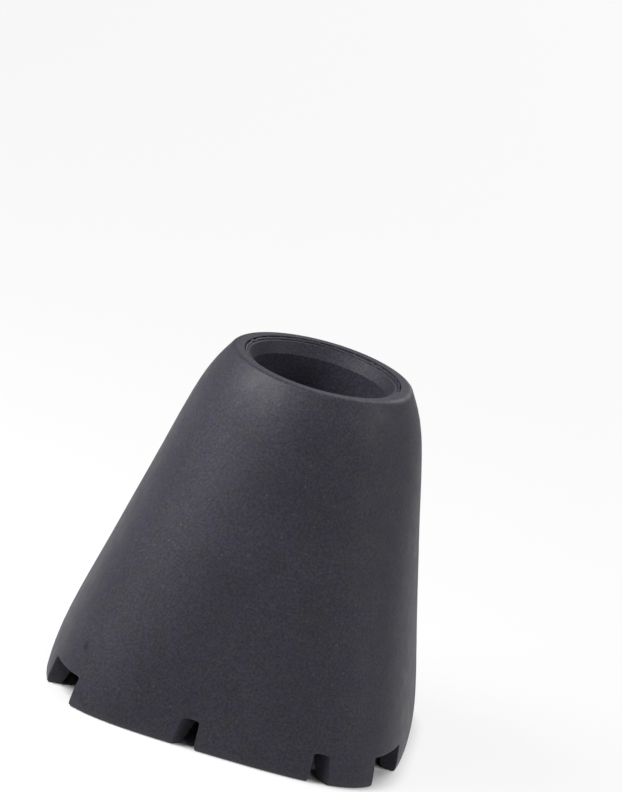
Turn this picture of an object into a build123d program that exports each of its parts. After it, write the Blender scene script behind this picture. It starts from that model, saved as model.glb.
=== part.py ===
"""Rubber cane tip: one moulded piece with a blind bore that grips.

A round collar holds the bore, the body widens into a foot that is square with large round corners, and the
skirt round the foot is notched so that water can leave from under it. The tip stands on its foot, +Z runs up
the axis of the bore, and the front of the foot faces -Y. Millimetres.
"""

import math
import os

from build123d import *

# Bore
SHAFT_DIAMETER = 19.0  # standard size that the bore is made to grip
GRIP_INTERFERENCE = 0.2  # bore is smaller than that size by this, so that the rubber stretches and grips
BORE_DEPTH = 37.0  # from the rim down to the seat at the bottom

# Mouth
LEAD_IN_WIDTH = 0.6  # flare at the top of the bore, for an easy start
LEAD_IN_DEPTH = 1.6
TRIM_LAND_WIDTH = 0.8  # flat ring left where the moulding flash is trimmed off
TRIM_STEP_DEPTH = 0.4  # trimmed ring lies this far under the rim
RIM_WIDTH = 1.5  # rounded rim outside the trimmed ring
RIM_EDGE_RADIUS = 0.8

# Body
HEIGHT = 48.6  # foot to rim
SHOULDER_DROP = 8.4  # from the rim down to where the shoulder's curve begins
SHOULDER_WIDTH = 3.6  # shoulder is wider than the rim by this on each side
FOOT_SIDE = 49.0  # across the flats of the foot
FOOT_BLEND_RADIUS = 32.0  # curve from the sloping side into the upright edge of the foot
FOOT_EDGE_RADIUS = 0.5

# Plan of the body: how far a quarter's curve keeps straight on, as a share of the half side
ROUND_HANDLE_SHARE = 0.5523  # quarter of a circle
FOOT_HANDLE_SHARE = 0.88  # foot, nearly straight along the middle of each side

# Underside
SKIRT_LAND_WIDTH = 2.0  # flat edge that the skirt stands on
DISH_DEPTH = 4.5  # hollow between the skirt and the middle pad
DISH_SLOPE_SHARE = 0.35  # run of the hollow's sloping side, as a share of its depth
PAD_DIAMETER = 26.0  # middle pad, under the bore
PAD_EDGE_RADIUS = 0.6
TREAD_GROOVE_WIDTH = 1.5
TREAD_GROOVE_DEPTH = 1.2
TREAD_GROOVE_SHARES = (0.36, 0.7)  # middle of each ring groove, as a share of the pad's radius

# Notches in the skirt, on half a turn; the other half repeats them
NOTCH_HEIGHT = 4.0
NOTCH_DRAFT_SHARE = 0.08  # how far each wall leans outwards, as a share of the height
NOTCH_CORNER_RADIUS = 0.4  # between the walls and the roof
NOTCH_EDGE_RADIUS = 0.15  # soft edges all round
NOTCH_REACH = 8.5  # from the outside of the skirt into the hollow, along the slot
NARROW_NOTCH_WIDTHS = (1.85, 1.7)  # square to the slot
WIDE_NOTCH_WIDTHS = (7.2, 8.6)
NARROW_NOTCH_ANGLES = (-8.0, 33.5)  # degrees from the front, counted to the right
WIDE_NOTCH_ANGLES = (-51.5, 60.0)
NARROW_NOTCH_SLANTS = (28.0, -16.0)  # degrees that a slot turns away from the axis on its way in
WIDE_NOTCH_SLANTS = (18.0, -18.0)

bore_radius = (SHAFT_DIAMETER - GRIP_INTERFERENCE) / 2
lead_in_radius = bore_radius + LEAD_IN_WIDTH
trim_radius = lead_in_radius + TRIM_LAND_WIDTH
rim_radius = trim_radius + RIM_WIDTH
shoulder_radius = rim_radius + SHOULDER_WIDTH
shoulder_height = HEIGHT - SHOULDER_DROP
foot_half = FOOT_SIDE / 2

# Side of the body: an arc at the foot, a straight slope that touches it, and an arc over the shoulder
blend_centre = foot_half - FOOT_BLEND_RADIUS
reach = math.hypot(shoulder_radius - blend_centre, shoulder_height)
slope = math.atan2(shoulder_height, shoulder_radius - blend_centre) - math.acos(FOOT_BLEND_RADIUS / reach)
blend_height = FOOT_BLEND_RADIUS * math.sin(slope)
chord = math.hypot(SHOULDER_WIDTH, SHOULDER_DROP)
half_turn = math.atan2(SHOULDER_WIDTH, SHOULDER_DROP) - slope
shoulder_arc_radius = chord / (2 * math.sin(half_turn))


def half_side(height):
    """Half the width of the body, across its flats, at a height above the floor."""
    if height < blend_height:
        return blend_centre + math.sqrt(FOOT_BLEND_RADIUS**2 - height**2)
    if height < shoulder_height:
        return shoulder_radius + (shoulder_height - height) * math.tan(slope)
    rise = height - shoulder_height + shoulder_arc_radius * math.sin(slope)
    arc_centre = shoulder_radius - shoulder_arc_radius * math.cos(slope)
    return arc_centre + math.sqrt(shoulder_arc_radius**2 - rise**2)


def plan(half, handle_share, height):
    """Closed outline of four equal quarters, round or square by its handle share."""
    handle = half * handle_share
    quarter = Bezier((half, 0, height), (half, handle, height), (handle, half, height), (0, half, height))
    return make_face([quarter.rotate(Axis.Z, turn) for turn in (0, 90, 180, 270)])


def body_plan(height):
    """Outline of the body: round from the shoulder up, and more square towards the foot."""
    squareness = max(0, 1 - height / shoulder_height)
    handle_share = ROUND_HANDLE_SHARE + (FOOT_HANDLE_SHARE - ROUND_HANDLE_SHARE) * squareness
    return plan(half_side(height), handle_share, height)


slope_height = shoulder_height - blend_height
heights = [blend_height * share for share in (0, 0.5, 1)]
heights += [blend_height + slope_height * share for share in (0.25, 0.5, 0.75, 1)]
heights += [shoulder_height + SHOULDER_DROP * share for share in (0.35, 0.7, 1)]
body = loft([body_plan(height) for height in heights])

foot_edges = body.edges().group_by(Axis.Z)[0]
body = fillet(foot_edges, FOOT_EDGE_RADIUS)
rim_edges = body.edges().group_by(Axis.Z)[-1]
body = fillet(rim_edges, RIM_EDGE_RADIUS)

# Bore, with its lead-in and the trimmed ring round the mouth
trim_height = HEIGHT - TRIM_STEP_DEPTH
bore_floor = HEIGHT - BORE_DEPTH
mouth_profile = Polyline(
    (0, 0, bore_floor),
    (bore_radius, 0, bore_floor),
    (bore_radius, 0, trim_height - LEAD_IN_DEPTH),
    (lead_in_radius, 0, trim_height),
    (trim_radius, 0, trim_height),
    (trim_radius, 0, HEIGHT),
    (0, 0, HEIGHT),
    close=True,
)
body -= revolve(make_face(mouth_profile), Axis.Z)

# Hollow under the foot, between the skirt and the middle pad
dish_foot = foot_half - SKIRT_LAND_WIDTH
dish_roof = dish_foot - DISH_DEPTH * DISH_SLOPE_SHARE
dish = loft([plan(dish_foot, FOOT_HANDLE_SHARE, 0), plan(dish_roof, FOOT_HANDLE_SHARE, DISH_DEPTH)])
pad = Cylinder(PAD_DIAMETER / 2, DISH_DEPTH, align=(Align.CENTER, Align.CENTER, Align.MIN))
pad = fillet(pad.edges().group_by(Axis.Z)[0], PAD_EDGE_RADIUS)
body -= dish - pad

# Ring grooves in the pad
for share in TREAD_GROOVE_SHARES:
    middle = PAD_DIAMETER / 2 * share
    groove_profile = Polyline(
        (middle - TREAD_GROOVE_WIDTH / 2, 0, 0),
        (middle + TREAD_GROOVE_WIDTH / 2, 0, 0),
        (middle, 0, TREAD_GROOVE_DEPTH),
        close=True,
    )
    body -= revolve(make_face(groove_profile), Axis.Z)


def outline_radius(angle):
    """Distance from the axis to the foot's outline, at an angle from the front."""
    ray = Line((0, 0), (0, -FOOT_SIDE)).rotate(Axis.Z, angle)
    return (ray & plan(foot_half, FOOT_HANDLE_SHARE, 0)).length


def notch(width, angle, slant):
    """Slot through the skirt that slants in to the hollow, under a flat roof with round corners."""
    half_roof = width / 2
    half_floor = half_roof + NOTCH_HEIGHT * NOTCH_DRAFT_SHARE
    section = make_face(
        Polyline(
            (-half_floor, NOTCH_REACH, 0),
            (half_floor, NOTCH_REACH, 0),
            (half_roof, NOTCH_REACH, NOTCH_HEIGHT),
            (-half_roof, NOTCH_REACH, NOTCH_HEIGHT),
            close=True,
        )
    )
    section = fillet(section.vertices().group_by(Axis.Z)[-1], NOTCH_CORNER_RADIUS)
    slot = extrude(section, 2 * NOTCH_REACH, dir=(0, -1, 0)).rotate(Axis.Z, -slant)
    return slot.translate((0, -outline_radius(angle), 0)).rotate(Axis.Z, angle)


notches = [notch(*place) for place in zip(NARROW_NOTCH_WIDTHS, NARROW_NOTCH_ANGLES, NARROW_NOTCH_SLANTS)]
notches += [notch(*place) for place in zip(WIDE_NOTCH_WIDTHS, WIDE_NOTCH_ANGLES, WIDE_NOTCH_SLANTS)]
notches += [cut.rotate(Axis.Z, 180) for cut in notches]
notched = body - notches
body = fillet(new_edges(body, *notches, combined=notched), NOTCH_EDGE_RADIUS)

os.makedirs("parts", exist_ok=True)
body.label = "tip"
export_step(body, "parts/tip.step")
print("tip volume", round(body.volume), "size", body.bounding_box().size, "valid", body.is_valid)
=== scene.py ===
# %% [markdown]
# # A rubber cane tip, dressed for its picture
#
# A cane tip is a plain thing: one lump of black rubber, pressed hot in a steel mould. Its shape is already
# made, to the millimetre, in the imported part. What is left for Blender is everything that makes rubber look
# like rubber: a dull skin with a fine grain, a little dust, the soft light that slides over its shoulder,
# and the ragged line round the mouth where the spare rubber was cut off.
#
# The part comes in first. Its box is kept: the floor is laid at its bottom, and the mouth's lip is placed
# from its top.

# %% Load the part
import math

import bmesh
import bpy
from mathutils import Matrix, Vector, noise


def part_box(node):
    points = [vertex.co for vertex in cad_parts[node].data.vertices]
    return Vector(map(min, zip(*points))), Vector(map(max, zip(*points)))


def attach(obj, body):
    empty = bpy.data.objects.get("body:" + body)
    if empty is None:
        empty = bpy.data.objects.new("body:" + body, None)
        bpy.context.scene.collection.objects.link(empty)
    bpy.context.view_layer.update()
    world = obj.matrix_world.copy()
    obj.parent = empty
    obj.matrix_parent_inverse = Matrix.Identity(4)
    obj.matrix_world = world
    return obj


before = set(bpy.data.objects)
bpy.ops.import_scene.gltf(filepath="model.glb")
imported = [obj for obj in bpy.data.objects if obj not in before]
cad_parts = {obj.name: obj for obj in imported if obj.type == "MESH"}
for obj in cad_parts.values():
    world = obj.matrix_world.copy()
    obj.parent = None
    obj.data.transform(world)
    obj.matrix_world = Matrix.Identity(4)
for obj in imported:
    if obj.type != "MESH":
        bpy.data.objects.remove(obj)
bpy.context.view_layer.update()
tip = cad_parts["tip"]
tip_low, tip_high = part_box("tip")
MM = 0.001
print("tip", [round(side / MM, 2) for side in tip_high - tip_low], "mm,", len(tip.data.polygons), "faces")

# %% [markdown]
# ## The camera
#
# The photograph was taken from far away through a long lens: what runs side by side on the real thing runs
# side by side in the picture, and never draws together. A 600 mm lens gives the same flat look. The ellipse
# of the mouth says how far the camera looks down, the front edge of the foot says how far it stands to one
# side, and the lean of the whole tip is a tilted frame, so it is a roll of the camera and not of the tip.
#
# One point ties the picture to the model: a place half-way up the tip's axis, and the pixel where it lands.
# The scale then gives the distance, and stepping from that pixel to the middle of the picture gives the
# point that the lens looks at. No lens shift is needed.

# %% Point the camera
PICTURE_PIXELS = Vector((622, 792))
AXIS_MIDDLE_PIXEL = Vector((276.8, 529.9))
AXIS_MIDDLE_MM = 25  # height above the floor, about half-way up
PIXELS_PER_MM = 7.5
LOOK_DOWN = math.radians(16.74)
STEP_RIGHT = math.radians(2.08)
LEAN = math.radians(15.82)
LENS_MM = 600
SENSOR_MM = 36

away = Vector((-math.sin(STEP_RIGHT), math.cos(STEP_RIGHT), 0))
level_right = Vector((math.cos(STEP_RIGHT), math.sin(STEP_RIGHT), 0))
backwards = Vector((0, 0, math.sin(LOOK_DOWN))) - away * math.cos(LOOK_DOWN)
level_up = backwards.cross(level_right)
right = level_right * math.cos(LEAN) + level_up * math.sin(LEAN)
up = level_up * math.cos(LEAN) - level_right * math.sin(LEAN)

axis_middle = Vector((0, 0, AXIS_MIDDLE_MM * MM))
offset = (PICTURE_PIXELS / 2 - AXIS_MIDDLE_PIXEL) / PIXELS_PER_MM * MM
aim = axis_middle + right * offset.x - up * offset.y
distance = LENS_MM / SENSOR_MM * max(PICTURE_PIXELS) / PIXELS_PER_MM * MM

camera = bpy.data.objects.new("camera", bpy.data.cameras.new("camera"))
camera.data.lens = LENS_MM
camera.data.sensor_width = SENSOR_MM
turn = Matrix((right, up, backwards)).transposed().to_4x4()
camera.matrix_world = Matrix.Translation(aim + backwards * distance) @ turn
bpy.context.collection.objects.link(camera)
bpy.context.scene.camera = camera
bpy.context.scene.view_settings.view_transform = "Standard"
print("camera", round(distance, 3), "m away, looking down", round(math.degrees(LOOK_DOWN), 1), "degrees")

# %% [markdown]
# ## Black rubber
#
# The tip is natural rubber filled with carbon black, pressed hot in a steel mould. That gives the eye a
# charcoal with a cool cast, dull and never quite even, which shines only where the light skims along it.
#
# A material is a small network of nodes. They could be wired by hand in the editor, but a script can be read
# and run again. One function adds a node with its settings and its links, and the rest of the recipe then
# reads from top to bottom, as the light meets it. Colours are written as a screen shows them, and a second
# function turns them into the linear light that shaders work in.

# %% Node and colour helpers
def add_node(tree, kind, links=None, **settings):
    """Adds a node. Settings are its properties; links give each input a value or another node's output."""
    made = tree.nodes.new(kind)
    for name, value in settings.items():
        setattr(made, name, value)
    for name, value in (links or {}).items():
        if isinstance(value, bpy.types.NodeSocket):
            tree.links.new(value, made.inputs[name])
        else:
            made.inputs[name].default_value = value
    return made


def linear(hex_colour):
    """A screen colour, such as 3a393f, as the linear light that shaders work in."""
    parts = [int(hex_colour[i : i + 2], 16) / 255 for i in (0, 2, 4)]
    return [c / 12.92 if c <= 0.04045 else ((c + 0.055) / 1.055) ** 2.4 for c in parts] + [1]


print("a screen's middle grey, 808080, is", round(linear("808080")[0], 3), "in linear light")

# %% [markdown]
# The mould leaves a fine grain on the rubber, the hot mass flows into it in slow clouds and smaller patches,
# and dust settles on it in specks. Each of these is one pattern. An image could hold them, but noise has no
# seam and no last pixel. All of them are measured in millimetres from the part's own origin, so the grain
# keeps its real size whatever the camera does.

# %% Patterns in the rubber
CLOUD_MM = 7
PATCH_MM = 2.2
GRAIN_MM = 0.32  # the mould's own grain is nearer 0.1 mm, too fine to show, so it is drawn coarser
NOISE_DETAIL = 3  # how many finer layers each noise carries
SPECK_CELL_MM = 0.9
SPECK_RADIUS_MM = 0.21  # a speck of dust is nearer 0.05 mm, so it is drawn larger and fainter

rubber = bpy.data.materials.new("moulded_black_rubber")
rubber.use_nodes = True
tree = rubber.node_tree
tree.nodes.clear()

place = add_node(tree, "ShaderNodeTexCoord").outputs["Object"]
in_mm = add_node(tree, "ShaderNodeVectorMath", {0: place, "Scale": 1 / MM}, operation="SCALE").outputs[0]
noises = [
    add_node(tree, "ShaderNodeTexNoise", {"Vector": in_mm, "Scale": 1 / size, "Detail": NOISE_DETAIL})
    for size in (CLOUD_MM, PATCH_MM, GRAIN_MM)
]
cloud, patch, grain = [made.outputs[0] for made in noises]
specks = add_node(tree, "ShaderNodeTexVoronoi", {"Vector": in_mm, "Scale": 1 / SPECK_CELL_MM})
print("noises of", CLOUD_MM, PATCH_MM, "and", GRAIN_MM, "mm, specks", 2 * SPECK_RADIUS_MM, "mm wide")

# %% [markdown]
# One flat colour would look like paint. Carbon black gives the eye nearly no colour, with a faint blue cast
# that comes and goes, so the skin starts as two charcoals, one neutral and one cooler, in soft patches. The
# cloud and the grain then make it lighter and darker.
#
# Each pattern comes out of its node between 0 and 1, mostly near the middle, so a Map Range node stretches
# the middle of it to the range that is wanted. A Mix node has one set of inputs for each kind of value under
# the same names, so its inputs go by number: for colours, 0 is the share, and 6 and 7 are the two colours.

# %% Charcoal skin
NEUTRAL_CHARCOAL = "2e2c33"
COOL_CHARCOAL = "2d2b38"
NOISE_MIDDLE = {"From Min": 0.3, "From Max": 0.7}  # most of a noise lies between these
PATCH_MIDDLE = {"From Min": 0.36, "From Max": 0.64}  # narrower, so that the patches stand apart
CLOUD_SHADES = {"To Min": 0.9, "To Max": 1.1}
GRAIN_SHADES = {"To Min": 0.58, "To Max": 1.42}

patchy = add_node(tree, "ShaderNodeMapRange", {"Value": patch, **PATCH_MIDDLE}).outputs[0]
charcoals = {0: patchy, 6: linear(NEUTRAL_CHARCOAL), 7: linear(COOL_CHARCOAL)}
charcoal = add_node(tree, "ShaderNodeMix", charcoals, data_type="RGBA").outputs[2]
cloud_range = {"Value": cloud, **NOISE_MIDDLE, **CLOUD_SHADES}
cloud_shade = add_node(tree, "ShaderNodeMapRange", cloud_range).outputs[0]
grain_range = {"Value": grain, **NOISE_MIDDLE, **GRAIN_SHADES}
grain_shade = add_node(tree, "ShaderNodeMapRange", grain_range).outputs[0]
shade = add_node(tree, "ShaderNodeMath", {0: cloud_shade, 1: grain_shade}, operation="MULTIPLY").outputs[0]
skin = add_node(tree, "ShaderNodeVectorMath", {0: charcoal, "Scale": shade}, operation="SCALE").outputs[0]
print("charcoals", NEUTRAL_CHARCOAL, "and", COOL_CHARCOAL, "shaded by cloud and grain")

# %% [markdown]
# A used tip carries small marks. The lowest millimetre of the skirt has stood on floors and is a little
# greyer. Specks of dust lie all over, each with its own luck: the Voronoi node gives every cell a chance
# colour, and one part of it says how bright that cell's speck is. Low on the left flank there is one pit, as
# a bubble leaves in a moulding, and its colour is darkened towards the middle as painted shade in the
# hollow. It is placed by its distance from one point on the skin, and the same distance sinks it in the
# relief further down.
#
# Marks could be painted on the mesh by hand, but masks worked out from a height or a distance can be read,
# and they are as sharp from close by as from far away.

# %% Wear, dust and the pit
WORN_EDGE_MM = 1.2
WORN_GREY = "4c4a4c"
MOST_WORN = 0.5  # share of that grey at the very edge, where a patch is worn most
LEAST_WORN = 0.3  # what is left of that share where a patch is worn least
DUST_GREY = "a9a8ac"
DUST_SHARE = 0.1
BARE_CHANCE = 0.4  # cells whose chance is lower have no speck
PIT_PLACE_MM = (-19.4, -18.6, 7.68)
PIT_RADIUS_MM = 1.1
# painted shade: the share of the skin's colour left at the pit's middle
PIT_PAINTED_SHADE = 0.4

height = add_node(tree, "ShaderNodeSeparateXYZ", {0: in_mm}).outputs["Z"]
edge = {"Value": height, "From Max": WORN_EDGE_MM, "To Min": MOST_WORN, "To Max": 0}
low = add_node(tree, "ShaderNodeMapRange", edge).outputs[0]
spared = {"Value": patch, **NOISE_MIDDLE, "To Min": LEAST_WORN}
uneven = add_node(tree, "ShaderNodeMapRange", spared).outputs[0]
worn = add_node(tree, "ShaderNodeMath", {0: low, 1: uneven}, operation="MULTIPLY").outputs[0]
skin = add_node(tree, "ShaderNodeMix", {0: worn, 6: skin, 7: linear(WORN_GREY)}, data_type="RGBA").outputs[2]

from_speck = specks.outputs["Distance"]  # counted in cells
speck = {"Value": from_speck, "From Max": SPECK_RADIUS_MM / SPECK_CELL_MM, "To Min": DUST_SHARE, "To Max": 0}
dot = add_node(tree, "ShaderNodeMapRange", speck).outputs[0]
chance = add_node(tree, "ShaderNodeSeparateXYZ", {0: specks.outputs["Color"]}).outputs["X"]
luck = add_node(tree, "ShaderNodeMapRange", {"Value": chance, "From Min": BARE_CHANCE}).outputs[0]
dust = add_node(tree, "ShaderNodeMath", {0: dot, 1: luck}, operation="MULTIPLY").outputs[0]
skin = add_node(tree, "ShaderNodeMix", {0: dust, 6: skin, 7: linear(DUST_GREY)}, data_type="RGBA").outputs[2]

from_pit = add_node(tree, "ShaderNodeVectorMath", {0: in_mm, 1: PIT_PLACE_MM}, operation="DISTANCE")
pit_ring = {"Value": from_pit.outputs["Value"], "From Max": PIT_RADIUS_MM}
pit = add_node(tree, "ShaderNodeMapRange", pit_ring, interpolation_type="SMOOTHSTEP").outputs[0]
# painted shade: the skin darkens towards the pit's middle, where the hollow is in shade
pit_painted_shade = add_node(tree, "ShaderNodeMapRange", {"Value": pit, "To Min": PIT_PAINTED_SHADE}).outputs[0]
skin = add_node(tree, "ShaderNodeVectorMath", {0: skin, "Scale": pit_painted_shade}, operation="SCALE").outputs[0]
print("worn up to", WORN_EDGE_MM, "mm, one pit", 2 * PIT_RADIUS_MM, "mm wide")

# %% [markdown]
# Rubber is dull but not flat. It has a broad soft highlight that breaks up on the grain, and it turns pale
# where the eye skims along it, at both edges of the body. The shader does that by itself, from its
# roughness, and a little sheen stands for the dust that catches the light there. Rubber has an IOR of about
# 1.52, and the shader's own 1.5 is near enough to stay.
#
# A mesh with all of the grain in it would have millions of faces, so the grain is bump. It is shallow: a few
# hundredths of a millimetre for the grain, and a slow waviness, as a soft part has when it cools. Each Bump
# node hands its normal on to the next.

# %% Shine and relief of the rubber
WAVE_DEPTH_MM = 0.1
WAVE_STRENGTH = 0.5
PIT_DEPTH_MM = 0.15
PIT_STRENGTH = 1
GRAIN_DEPTH_MM = 0.045
GRAIN_STRENGTH = 0.9
DULLNESS = {"To Min": 0.52, "To Max": 0.62}

waved = {"Height": cloud, "Distance": WAVE_DEPTH_MM * MM, "Strength": WAVE_STRENGTH}
waves = add_node(tree, "ShaderNodeBump", waved).outputs[0]
pitted = {"Height": pit, "Distance": PIT_DEPTH_MM * MM, "Strength": PIT_STRENGTH, "Normal": waves}
sunk = add_node(tree, "ShaderNodeBump", pitted).outputs[0]
grained = {"Height": grain, "Distance": GRAIN_DEPTH_MM * MM, "Strength": GRAIN_STRENGTH, "Normal": sunk}
relief = add_node(tree, "ShaderNodeBump", grained).outputs[0]
dullness = add_node(tree, "ShaderNodeMapRange", {"Value": patch, **NOISE_MIDDLE, **DULLNESS}).outputs[0]
shader = add_node(
    tree,
    "ShaderNodeBsdfPrincipled",
    {
        "Base Color": skin,
        "Roughness": dullness,
        "Normal": relief,
        "Specular IOR Level": 0.35,
        "Sheen Weight": 0.05,
        "Sheen Roughness": 0.4,
    },
)
add_node(tree, "ShaderNodeOutputMaterial", {"Surface": shader.outputs[0]})

tip.data.materials.clear()
tip.data.materials.append(rubber)
print("material", rubber.name, "with", len(tree.nodes), "nodes")

# %% [markdown]
# ## The trimmed mouth
#
# Where two halves of a mould meet, a thin skin of rubber squeezes out, and it is cut off with a knife or a
# punch. The cut is never clean. Round this mouth it leaves a low ragged lip just inside the rim, with a dark
# line beside it. It could be painted as a bump, but the line is a real gap with a real shadow, so it is a
# ring of mesh: a small ridge whose height and radius wander with a noise that is read round the circle.

# %% Build the ragged lip
TRIM_STEP_MM = 0.4  # the trimmed land lies this far under the rim
LIP_RADIUS_MM = 10.5
LIP_HALF_WIDTH_MM = 0.16
LIP_HEIGHT_MM = 0.26
LIP_SINK_MM = 0.06  # the lip's foot is this deep in the land, so that no gap shows under it
LIP_SECTION_SHARES = ((-0.5, 0.7), (0.4, 1), (1, 0.6))  # of the half width, outwards, and of the height
LIP_WANDER_MM = 0.2
LIP_RAGGED_MM = 0.12
NOISE_SCALES = (4, 13, 31)  # slow swings, jags and a fine fray
WANDER_SHARES = (0.4, 0.6, 0.2)
RAGGED_SHARES = (0.6, 0.8, 0.4)
LIP_STEPS = 720

land_height_mm = tip_high.z / MM - TRIM_STEP_MM
lip_mesh = bmesh.new()
rows = []
for step in range(LIP_STEPS):
    angle = math.tau * step / LIP_STEPS
    around = Vector((math.cos(angle), math.sin(angle), 0))
    swings = [noise.noise(around * scale) for scale in NOISE_SCALES]
    wander = sum(share * swing for share, swing in zip(WANDER_SHARES, swings))
    ragged = sum(share * swing for share, swing in zip(RAGGED_SHARES, swings))
    middle = LIP_RADIUS_MM + LIP_WANDER_MM * wander
    crest = LIP_HEIGHT_MM + LIP_RAGGED_MM * ragged
    section = [(middle - LIP_HALF_WIDTH_MM, -LIP_SINK_MM)]
    section += [(middle + LIP_HALF_WIDTH_MM * out, crest * rise) for out, rise in LIP_SECTION_SHARES]
    section += [(middle + LIP_HALF_WIDTH_MM, -LIP_SINK_MM)]
    points = [around * radius + Vector((0, 0, land_height_mm + rise)) for radius, rise in section]
    rows.append([lip_mesh.verts.new(point * MM) for point in points])
for row, following in zip(rows, rows[1:] + rows[:1]):
    for i in range(len(row)):
        j = (i + 1) % len(row)
        lip_mesh.faces.new((row[i], following[i], following[j], row[j])).smooth = True
bmesh.ops.recalc_face_normals(lip_mesh, faces=lip_mesh.faces)

lip_data = bpy.data.meshes.new("trim_lip")
lip_mesh.to_mesh(lip_data)
lip_mesh.free()
lip_data.materials.append(rubber)
lip = bpy.data.objects.new("trim_lip", lip_data)
bpy.context.collection.objects.link(lip)
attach(lip, "root")
print("lip", len(lip_data.polygons), "faces")

# %% [markdown]
# ## The floor
#
# The tip stands on a sheet of matt white paper that fills the picture. Paper gives the eye a white with no
# gloss, and a soft shadow. A camera set for a black object shows paper whiter than the room makes it, and
# more light would do the same but spoil the rubber. So a share of what the eye sees of the paper is plain
# white, and the rest is the lit sheet, which keeps the shadow. The Light Path node asks who is looking: the
# camera and the rubber's shine see that white, and the soft light that the paper throws back on to the
# rubber stays as it was.
#
# Under the foot no light comes in, and there the sheet stays as dark as it is. That is what makes the
# notches look like holes. The foot is a square with round corners, and the fourth root of x to the fourth
# plus y to the fourth draws just such a square round the axis.

# %% Paper for the floor
PAPER_WHITE = "f6f6f5"
PLAIN_WHITE = "ffffff"
WHITENING = 0.85
DARK_HALF_MM = 22.5
WHITE_HALF_MM = 26.5

paper = bpy.data.materials.new("matte_white_paper")
paper.use_nodes = True
sheet = paper.node_tree
sheet.nodes.clear()

spot = add_node(sheet, "ShaderNodeTexCoord").outputs["Object"]
squared = add_node(sheet, "ShaderNodeVectorMath", {0: spot, 1: spot}, operation="MULTIPLY").outputs[0]
fourth = add_node(sheet, "ShaderNodeVectorMath", {0: squared, 1: squared}, operation="DOT_PRODUCT")
fourth_root = {0: fourth.outputs["Value"], 1: 1 / 4}
from_axis = add_node(sheet, "ShaderNodeMath", fourth_root, operation="POWER").outputs[0]
clear = {
    "Value": from_axis,
    "From Min": DARK_HALF_MM * MM,
    "From Max": WHITE_HALF_MM * MM,
    "To Max": WHITENING,
}
whiteness = add_node(sheet, "ShaderNodeMapRange", clear, interpolation_type="SMOOTHSTEP").outputs[0]

ray = add_node(sheet, "ShaderNodeLightPath")
direct = {0: ray.outputs["Is Camera Ray"], 1: ray.outputs["Is Glossy Ray"]}
seen = add_node(sheet, "ShaderNodeMath", direct, operation="ADD").outputs[0]
through = {0: seen, 1: ray.outputs["Is Transmission Ray"]}
seen = add_node(sheet, "ShaderNodeMath", through, operation="ADD").outputs[0]
share = add_node(sheet, "ShaderNodeMath", {0: seen, 1: whiteness}, operation="MULTIPLY").outputs[0]

fibres = {"Base Color": linear(PAPER_WHITE), "Roughness": 0.9, "Specular IOR Level": 0.1}
lit = add_node(sheet, "ShaderNodeBsdfPrincipled", fibres)
white = add_node(sheet, "ShaderNodeEmission", {"Color": linear(PLAIN_WHITE), "Strength": 1})
both = add_node(sheet, "ShaderNodeMixShader", {0: share, 1: lit.outputs[0], 2: white.outputs[0]})
add_node(sheet, "ShaderNodeOutputMaterial", {"Surface": both.outputs[0]})
print("paper, white beyond", WHITE_HALF_MM, "mm from the axis")

# %% [markdown]
# The sheet is one large flat square at the height of the foot. A backdrop that curves up would do as well,
# but the lens sees so little of the floor that its edges stay out of the picture. It belongs to the studio
# and not to the part.

# %% Lay the floor
FLOOR_HALF = 2.0

floor_data = bpy.data.meshes.new("floor")
corners = [(-1, -1), (1, -1), (1, 1), (-1, 1)]
floor_data.from_pydata([(x * FLOOR_HALF, y * FLOOR_HALF, tip_low.z) for x, y in corners], [], [(0, 1, 2, 3)])
floor_data.materials.append(paper)
floor = bpy.data.objects.new("floor", floor_data)
bpy.context.collection.objects.link(floor)
print("floor", 2 * FLOOR_HALF, "m wide")

# %% [markdown]
# ## The light
#
# Black rubber shows what it faces, so the lights are placed by the tones they have to leave on it. A small
# box close by on the left gives the pale band from the shoulder down the flank, and fades towards the foot
# because it is so near. A box on the right draws the bright edge there, one in front opens up the dark
# middle, and one behind lights the back and the far side of the rim. A sun lamp would be simpler, but its
# edges are hard: broad boxes make the steps from light to dark as slow as they are on the real tip.

# %% Set the lights
SKY_WHITE = "f4f5f8"
SKY_STRENGTH = 0.05


def soft_box(name, bearing, lift, reach, size, power):
    """A square light that faces the tip. Degrees right of the camera and above the floor, metres, watts."""
    lamp = bpy.data.lights.new(name, "AREA")
    lamp.size = size
    lamp.energy = power
    aside = math.radians(bearing) + STEP_RIGHT
    level = math.cos(math.radians(lift))
    towards = Vector((math.sin(aside) * level, -math.cos(aside) * level, math.sin(math.radians(lift))))
    box = bpy.data.objects.new(name, lamp)
    box.location = axis_middle + towards * reach
    box.rotation_euler = towards.to_track_quat("Z", "Y").to_euler()
    bpy.context.collection.objects.link(box)


soft_box("key_box", bearing=-72, lift=46, reach=0.18, size=0.12, power=0.47)
soft_box("right_box", bearing=84, lift=32, reach=0.7, size=0.35, power=2.0)
soft_box("front_box", bearing=30, lift=20, reach=0.7, size=0.35, power=0.5)
soft_box("back_box", bearing=155, lift=30, reach=0.7, size=0.35, power=1.8)

sky = bpy.data.worlds.new("pale_sky")
sky.use_nodes = True
sky.node_tree.nodes["Background"].inputs["Color"].default_value = linear(SKY_WHITE)
sky.node_tree.nodes["Background"].inputs["Strength"].default_value = SKY_STRENGTH
bpy.context.scene.world = sky
